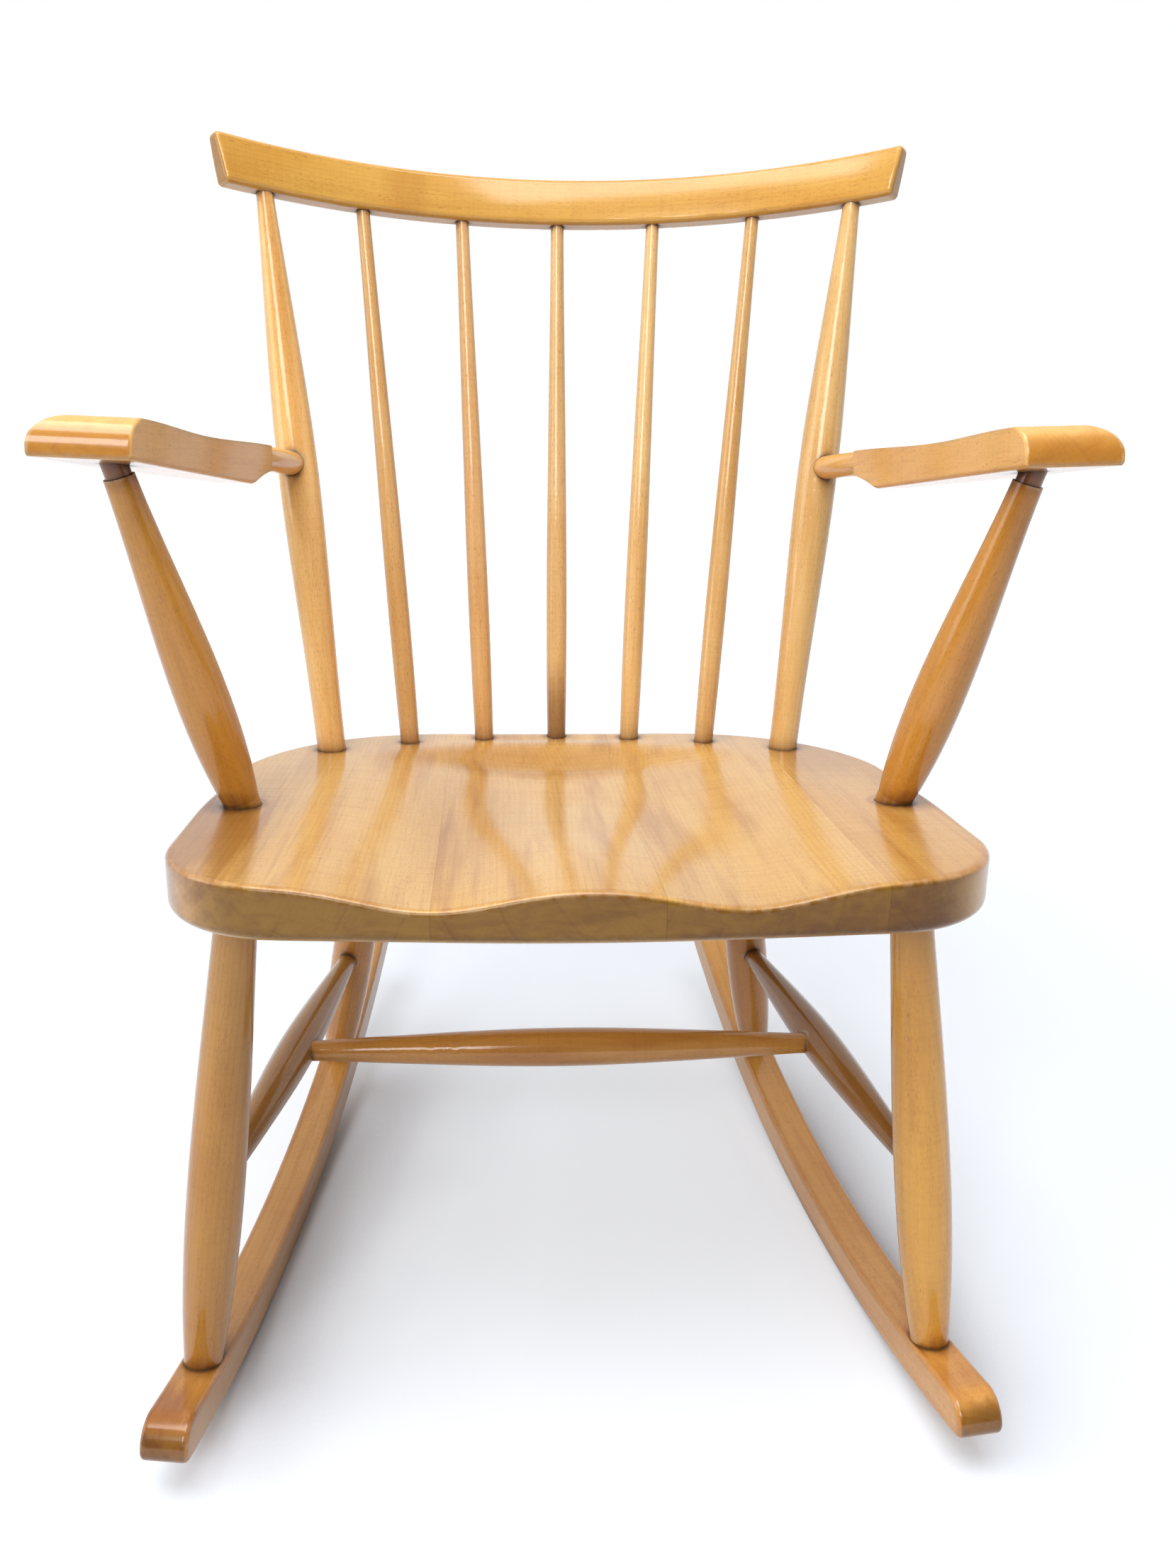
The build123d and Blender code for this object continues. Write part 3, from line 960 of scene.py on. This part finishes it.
@dataclass
class Seat(Assembly):
    """The saddled seat, four boards glued edge to edge."""

    finish: Beech = Beech(
        end=(0.26, 0.124, 0.012),
        # The pale edge colour here is partly worn wood and partly a painted highlight along the seat's
        # arrises.
        bare_and_glint=(0.86, 0.68, 0.44),
        soft=(0.70, 0.57, 0.40),
        chatter=0.55,
        varnish=Varnish(coat_rough=0.19, dull_ends=0.40),
        wear=Wear(rim=6 * MM),
    )
    end_dark: float = 0.95
    tilt: float = math.radians(5.4)
    rings: float = 0.30
    first_seed: float = 3.1
    next_seed: float = 7.3
    planks: tuple[Plank, ...] = (
        Plank((1.02, 1.05, 1.00), 0.62, 0.60, (-160 * MM, -90 * MM)),
        Plank((1.02, 1.02, 0.90), 0.48, 0.85, (190 * MM, -120 * MM)),
        Plank((1.00, 0.99, 0.86), 0.40, 0.70, (-230 * MM, -70 * MM)),
        Plank((0.95, 0.91, 0.74), 0.66, 0.75, (150 * MM, -110 * MM)),
    )
    stains: tuple[Stain, ...] = (
        # Darker patches: across the back of the dish, at the seat's left edge by the arm support's foot,
        # along the foot of the front face, and a few smaller ones.
        Stain("seat_board_2", (0.4150, 0.8162, 0.3183), (0.17, 0.042, 0.05), 0.75, (0.68, 0.57, 0.43)),
        Stain("seat_board_1", (0.0054, 0.2814, 0.8949), (0.085, 0.16, 0.05), 1.0, (0.52, 0.40, 0.28)),
        Stain("seat_board_2", (0.6840, -0.0148, 0.0857), (0.40, 0.05, 0.020), 0.60),
        Stain("seat_board_2", (0.1076, 0.4580, 0.6091), (0.05, 0.19, 0.04), 0.40),
        Stain("seat_board_2", (0.6994, -0.0023, 0.8126), (0.030, 0.012, 0.008), 0.40),
        Stain("seat_board_4", (0.4447, 0.7940, 0.4448), (0.04, 0.10, 0.04), 0.50),
        Stain("seat_board_4", (0.3842, -0.0387, 0.4448), (0.20, 0.045, 0.05), 0.75),
    )

    def names(self) -> list[str]:
        """The boards, from the left."""
        return [f"seat_board_{n + 1}" for n in range(len(self.planks))]

    def lay(self, name: str) -> Lay:
        """The grain of a board runs from the front of the seat to its back.

        Args:
            name: The board's name.

        Returns:
            Its lay.
        """
        low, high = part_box(name)
        way = Vector((0.0, math.cos(self.tilt), -math.sin(self.tilt)))
        return Lay((low + high) / 2, Lay.frame(way, ALONG_X))

    def tone(self, name: str) -> Tone:
        """Each board was cut from another plank.

        Args:
            name: The board's name.

        Returns:
            Its tone.
        """
        n = self.names().index(name)
        plank = self.planks[n]
        seed = self.next_seed * n + self.first_seed
        return Tone(plank.tint, plank.depth, plank.streaks, self.rings, plank.pith, seed)

    def glue_lines(self, name: str) -> list[float]:
        """The seams on a board's own edges, without the seat's outer edges.

        Args:
            name: The board's name.

        Returns:
            The x of both faces of each seam.
        """
        edges = sorted({round(corner.x, 5) for board in self.names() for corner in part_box(board)})
        low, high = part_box(name)
        return [x for x in edges[1:-1] if low.x - MM < x < high.x + MM]


@dataclass
class CrestRail(Assembly):
    """The bowed top rail."""

    finish: Beech = Beech(end=(0.36, 0.17, 0.045), wear=Wear(edge=1.5 * MM))
    end_dark: float = 0.75
    radius: float = 435 * MM
    rake: float = math.radians(13.4)
    set_back: float = 12 * MM
    stains: tuple[Stain, ...] = (
        Stain("crest_rail", (0.2719, 0.3116, 0.4615), (0.022, 0.08, 0.03), 0.45, (0.74, 0.60, 0.46)),
    )
    plank: Tone = Tone(
        tint=(0.98, 0.93, 0.58),
        depth=0.66,
        streaks=0.35,
        rings=0.18,
        pith=(-18 * MM, 75 * MM),
        seed=11.0,
    )

    def names(self) -> list[str]:
        """The rail is one piece."""
        return ["crest_rail"]

    def lay(self, name: str) -> Lay:
        """The grain follows the bow.

        Args:
            name: The rail's name.

        Returns:
            Its lay.
        """
        low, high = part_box(name)
        across = Vector((0.0, -math.cos(self.rake), math.sin(self.rake)))
        foot = Vector((0.0, high.y - self.set_back, (low.z + high.z) / 2))
        return Lay(foot, Lay.frame(ALONG_X, across), self.radius)

    def tone(self, name: str) -> Tone:
        """The rail is the most golden piece."""
        return self.plank


@dataclass
class Back(Assembly):
    """The two back posts and the five spindles, whose tints are paler than the rest partly as painted sheen
    and light.
    """

    # The tints are partly each stick's own tone and partly painted light: their paleness, bluer than the
    # wood, stands in for the white backdrop's sheen and the light on each stick.
    tints: Mapping[str, Colour] = field(
        default_factory=lambda: {
            "back_post_right": (1.09, 1.19, 1.44),
            "back_post_left": (1.30, 1.34, 1.48),
            "spindle_1": (1.01, 1.04, 1.26),
            "spindle_2": (1.07, 1.09, 1.40),
            "spindle_3": (1.09, 1.19, 1.55),
            "spindle_4": (1.18, 1.34, 1.80),
            "spindle_5": (1.05, 1.14, 1.44),
        }
    )
    stains: tuple[Stain, ...] = (
        Stain("spindle_3", (0.4994, -0.0475, 0.0289), (0.30, 0.10, 0.050), 0.75, (0.76, 0.71, 0.66)),
        Stain("spindle_3", (0.4994, 0.0817, 0.0402), (0.030, 0.06, 0.085), 1.0, (0.50, 0.43, 0.36)),
    )

    def names(self) -> list[str]:
        """Posts first, then spindles from the left."""
        return list(self.tints)


@dataclass
class Arms(Assembly):
    """The arms and the turned supports under them."""

    finish: Beech = Beech(end=(0.42, 0.165, 0.014), bare_and_glint=(0.66, 0.44, 0.20))
    # The arms' pale tint is partly painted sheen, standing in for the white backdrop's reflection on their
    # sides.
    arm_tint: Colour = (1.26, 1.24, 1.20)
    support_tint: Colour = (0.85, 0.67, 0.30)
    stains: tuple[Stain, ...] = Stain.on_both_sides(
        Stain("arm_support_left", (0.1090, 0.1849, 0.9633), (0.032, 0.032, 0.026), 0.9, (0.50, 0.37, 0.26)),
        Stain("arm_left", (0.9346, 0.9560, 0.8024), (0.03, 0.05, 0.03), 0.8, (0.60, 0.47, 0.34)),
    )

    def names(self) -> list[str]:
        """Arms first, then their supports."""
        return Side.both("arm", "arm_support")

    def tone(self, name: str) -> Tone:
        """The supports are more amber than the arms."""
        return Tone.of(name, self.support_tint if "support" in name else self.arm_tint)


@dataclass
class Undercarriage(Assembly):
    """Legs and stretchers."""

    # The tints are partly each piece's own tone and partly painted light: all are darkened as painted shade
    # under the seat, the side stretchers most, and the right front leg is lighter than the left as if lit
    # from the left.
    tints: Mapping[str, Colour] = field(
        default_factory=lambda: {
            "front_leg_left": (0.80, 0.66, 0.33),
            "front_leg_right": (1.18, 1.01, 0.50),
            "rear_leg_left": (0.95, 0.72, 0.48),
            "rear_leg_right": (0.98, 0.75, 0.50),
            "side_stretcher_left": (0.56, 0.48, 0.36),
            "side_stretcher_right": (0.50, 0.39, 0.24),
            "cross_stretcher": (0.84, 0.67, 0.42),
        }
    )

    def names(self) -> list[str]:
        """Legs first, then side stretchers, then the cross stretcher."""
        return Side.both("front_leg", "rear_leg", "side_stretcher") + ["cross_stretcher"]


@dataclass
class Rockers(Assembly):
    """The two bent runners, darkest where feet rub them in front."""

    finish: Beech = Beech(bare_and_glint=(0.52, 0.45, 0.36), wear=Wear(rim=5 * MM))
    radius: float = 918 * MM
    toe_in: float = math.radians(7.4)
    touch_y: float = -80 * MM
    # The right runner's lighter tint is painted light, as if the low side lamp lit it more than the left;
    # the rest is each runner's own tone.
    tints: Mapping[str, Colour] = field(
        default_factory=lambda: {"rocker_left": (0.88, 0.76, 0.60), "rocker_right": (1.30, 1.12, 0.80)}
    )
    stains: tuple[Stain, ...] = (
        Stain("rocker_left", (0.0829, 0.0370, 0.5617), (0.05, 0.050, 0.030), 0.95, (0.60, 0.44, 0.28)),
        Stain("rocker_right", (0.9171, 0.0673, 0.5447), (0.05, 0.035, 0.018), 0.70, (0.66, 0.52, 0.38)),
        Stain("rocker_left", (0.0054, -0.0009, 0.4255), (0.03, 0.012, 0.03), 0.45, (0.55, 0.45, 0.36)),
        Stain("rocker_right", (0.9946, -0.0085, 0.3830), (0.05, 0.030, 0.05), 0.95, (0.62, 0.60, 0.62)),
    )

    def names(self) -> list[str]:
        """One runner on each side."""
        return Side.both("rocker")

    def lay(self, name: str) -> Lay:
        """The grain follows the runner's curve.

        Args:
            name: The runner's name.

        Returns:
            Its lay.
        """
        low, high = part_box(name)
        middle = (low + high) / 2
        turned = self.toe_in if middle.x < 0 else -self.toe_in
        way = Vector((math.sin(turned), math.cos(turned), 0.0))
        return Lay(Vector((middle.x, self.touch_y, 0.0)), Lay.frame(way, UPWARD), self.radius)


# ------------------------------------------------------ floor, light, camera


@dataclass(frozen=True)
class Lamp:
    """A rectangular lamp."""

    name: str
    place: Triple
    aim: Triple
    size: Span
    watts: float

    def build(self) -> None:
        """Hangs the lamp."""
        data = bpy.data.lights.new(self.name, "AREA")
        data.shape = "RECTANGLE"
        data.size, data.size_y = self.size
        data.energy = self.watts
        lamp = bpy.data.objects.new(self.name, data)
        lamp.location = self.place
        toward = Vector(self.aim) - Vector(self.place)
        lamp.rotation_euler = toward.to_track_quat("-Z", "Y").to_euler()
        bpy.context.scene.collection.objects.link(lamp)


@dataclass(frozen=True)
class Floor:
    """A wide pale floor that keeps the chair's shadow.

    It shows white to the eye and to gloss, a little less white near the chair. The shade is a soft
    shadow where wood stands in the way of the light, which comes from light_way.
    """

    half: float = 9.0
    colour: Colour = (0.56, 0.60, 0.67)
    glow: Colour = (0.95, 0.972, 1.0)
    lift: Span = (0.56, 1.1)
    lift_step: Span = (0.55, 2.0)
    light_way: Triple = (-0.80, 0.10, 0.59)
    shade_reach: float = 0.20
    shade_samples: int = 16
    shade_step: Span = (0.35, 1.0)
    shade_least: float = 0.08
    shade_tint: Colour = (0.86, 0.76, 0.73)
    tint_step: Span = (0.40, 0.85)

    def build(self) -> None:
        """Lays the floor."""
        half = self.half
        mesh = bpy.data.meshes.new("floor")
        corners = [(-half, -half, 0), (half, -half, 0), (half, half, 0), (-half, half, 0)]
        mesh.from_pydata(corners, [], [(0, 1, 2, 3)])
        mesh.materials.append(self.material())
        floor = bpy.data.objects.new("floor", mesh)
        bpy.context.scene.collection.objects.link(floor)

    def material(self) -> bpy.types.Material:
        """The floor's finish: a matt ground, and a glow that shows to the eye and to gloss.

        Returns:
            The material.
        """
        made = bpy.data.materials.new("floor")
        tree = Tree(made)
        matt = tree.wire("ShaderNodeBsdfDiffuse", 0, None, {"Color": (*self.colour, 1.0)})
        lift = tree.smooth(tree.length(tree.place()), self.lift_step, self.lift)
        sky = tree.wire(
            "ShaderNodeAmbientOcclusion",
            "AO",
            {"samples": self.shade_samples},
            {"Distance": self.shade_reach, "Normal": tree.join(*self.light_way)},
        )
        shade = tree.smooth(sky, self.shade_step, (self.shade_least, 1.0))
        hue = tree.mix(tree.smooth(sky, self.tint_step), self.shade_tint, self.glow)
        strength = seen(tree) * lift * shade
        glow = tree.wire("ShaderNodeEmission", 0, None, {"Color": hue, "Strength": strength})
        both = tree.wire("ShaderNodeAddShader", 0, None, {0: matt, 1: glow})
        tree.node("ShaderNodeOutputMaterial", None, {"Surface": both})
        return made


@dataclass(frozen=True)
class Backdrop:
    """A world that is white to look at, dimmer as a light, and a dim room to gloss in front."""

    light: float = 0.14
    room: float = 0.16
    room_step: Span = (-0.25, 0.20)

    def build(self) -> None:
        """Makes the world."""
        world = bpy.data.worlds.new("studio")
        bpy.context.scene.world = world
        tree = Tree(world)
        _, back, _ = tree.split(tree.wire("ShaderNodeTexCoord", "Generated"))
        gloss = tree.wire("ShaderNodeLightPath", "Is Glossy Ray")
        mirrored = tree.smooth(back, self.room_step, (self.room - 1.0, 0.0)) * gloss
        strength = seen(tree) * (1.0 - self.light) + self.light + mirrored
        sky = tree.wire("ShaderNodeBackground", 0, None, {"Color": (*PLAIN, 1.0), "Strength": strength})
        tree.node("ShaderNodeOutputWorld", None, {"Surface": sky})


def seen(tree: Tree) -> Wire:
    """Which rays come from the eye or by way of gloss or glass.

    Args:
        tree: The tree to build in.

    Returns:
        1 for those rays, and 0 for the ones that light the chair.
    """
    path = tree.node("ShaderNodeLightPath")
    names = ("Is Camera Ray", "Is Glossy Ray", "Is Transmission Ray")
    camera, gloss, through = (Wire(tree, path.outputs[name]) for name in names)
    return tree.math("MAXIMUM", tree.math("MAXIMUM", camera, gloss), through)


@dataclass(frozen=True)
class Studio:
    """A pale floor, a white backdrop and soft light from above and in front."""

    floor: Floor = Floor()
    backdrop: Backdrop = Backdrop()
    lamps: tuple[Lamp, ...] = (
        Lamp("overhead", (-0.25, -0.70, 2.5), (0.0, 0.0, 0.45), (1.8, 1.2), 44),
        Lamp("window", (-0.9, -2.8, 2.3), (0.0, 0.0, 0.55), (1.3, 1.0), 40),
        Lamp("side", (-2.3, -0.5, 1.2), (0.0, 0.0, 0.35), (1.2, 1.2), 13),
        Lamp("fill", (2.3, -0.5, 1.2), (0.0, 0.0, 0.35), (1.2, 1.2), 3),
    )

    def build(self) -> None:
        """Makes the floor, the backdrop and the lamps."""
        for thing in (self.floor, self.backdrop, *self.lamps):
            thing.build()


@dataclass(frozen=True)
class Camera:
    """The eye, a little above the seat and left of the middle.

    Focus is the lens and middle the point it looks at, both in pixels of the full frame.
    """

    place: Triple = (-0.0540, -0.9072, 0.7163)
    yaw: float = math.radians(3.006)
    pitch: float = math.radians(-20.237)
    roll: float = math.radians(0.761)
    focus: float = 1678.3
    middle: Span = (778.5, 1106.1)
    nearest: float = 0.01
    farthest: float = 50.0

    def turn(self) -> Matrix:
        """Which way the eye looks.

        Returns:
            A turn whose columns are the eye's right, its up and the way behind it.
        """
        level = Vector((math.cos(self.yaw), -math.sin(self.yaw), 0.0))
        flat = math.cos(self.pitch)
        ahead = Vector((math.sin(self.yaw) * flat, math.cos(self.yaw) * flat, math.sin(self.pitch)))
        top = level.cross(ahead)
        right = level * math.cos(self.roll) + top * math.sin(self.roll)
        up = top * math.cos(self.roll) - level * math.sin(self.roll)
        return Matrix((right, up, -ahead)).transposed()

    def build(self) -> None:
        """Makes the camera and gives it to the scene."""
        data = bpy.data.cameras.new("eye")
        data.sensor_width = SENSOR
        data.lens = self.focus / FRAME_HEIGHT * SENSOR
        data.shift_x = (FRAME_WIDTH / 2 - self.middle[0]) / FRAME_HEIGHT
        data.shift_y = (self.middle[1] - FRAME_HEIGHT / 2) / FRAME_HEIGHT
        data.clip_start = self.nearest
        data.clip_end = self.farthest
        camera = bpy.data.objects.new("eye", data)
        camera.matrix_world = Matrix.Translation(self.place) @ self.turn().to_4x4()
        bpy.context.scene.collection.objects.link(camera)
        bpy.context.scene.camera = camera


def main() -> None:
    """Loads the frame, dresses the chair and sets the stage."""
    logging.basicConfig(level=logging.INFO, format="%(message)s")
    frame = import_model()
    nodes = frame["nodes"]
    for part in (Seat, CrestRail, Back, Arms, Undercarriage, Rockers):
        part(nodes).dress()
    Studio().build()
    Camera().build()
    bpy.context.scene.view_settings.view_transform = "Standard"
    log.info("%d pieces dressed", len(nodes))


if __name__ == "__main__":
    main()
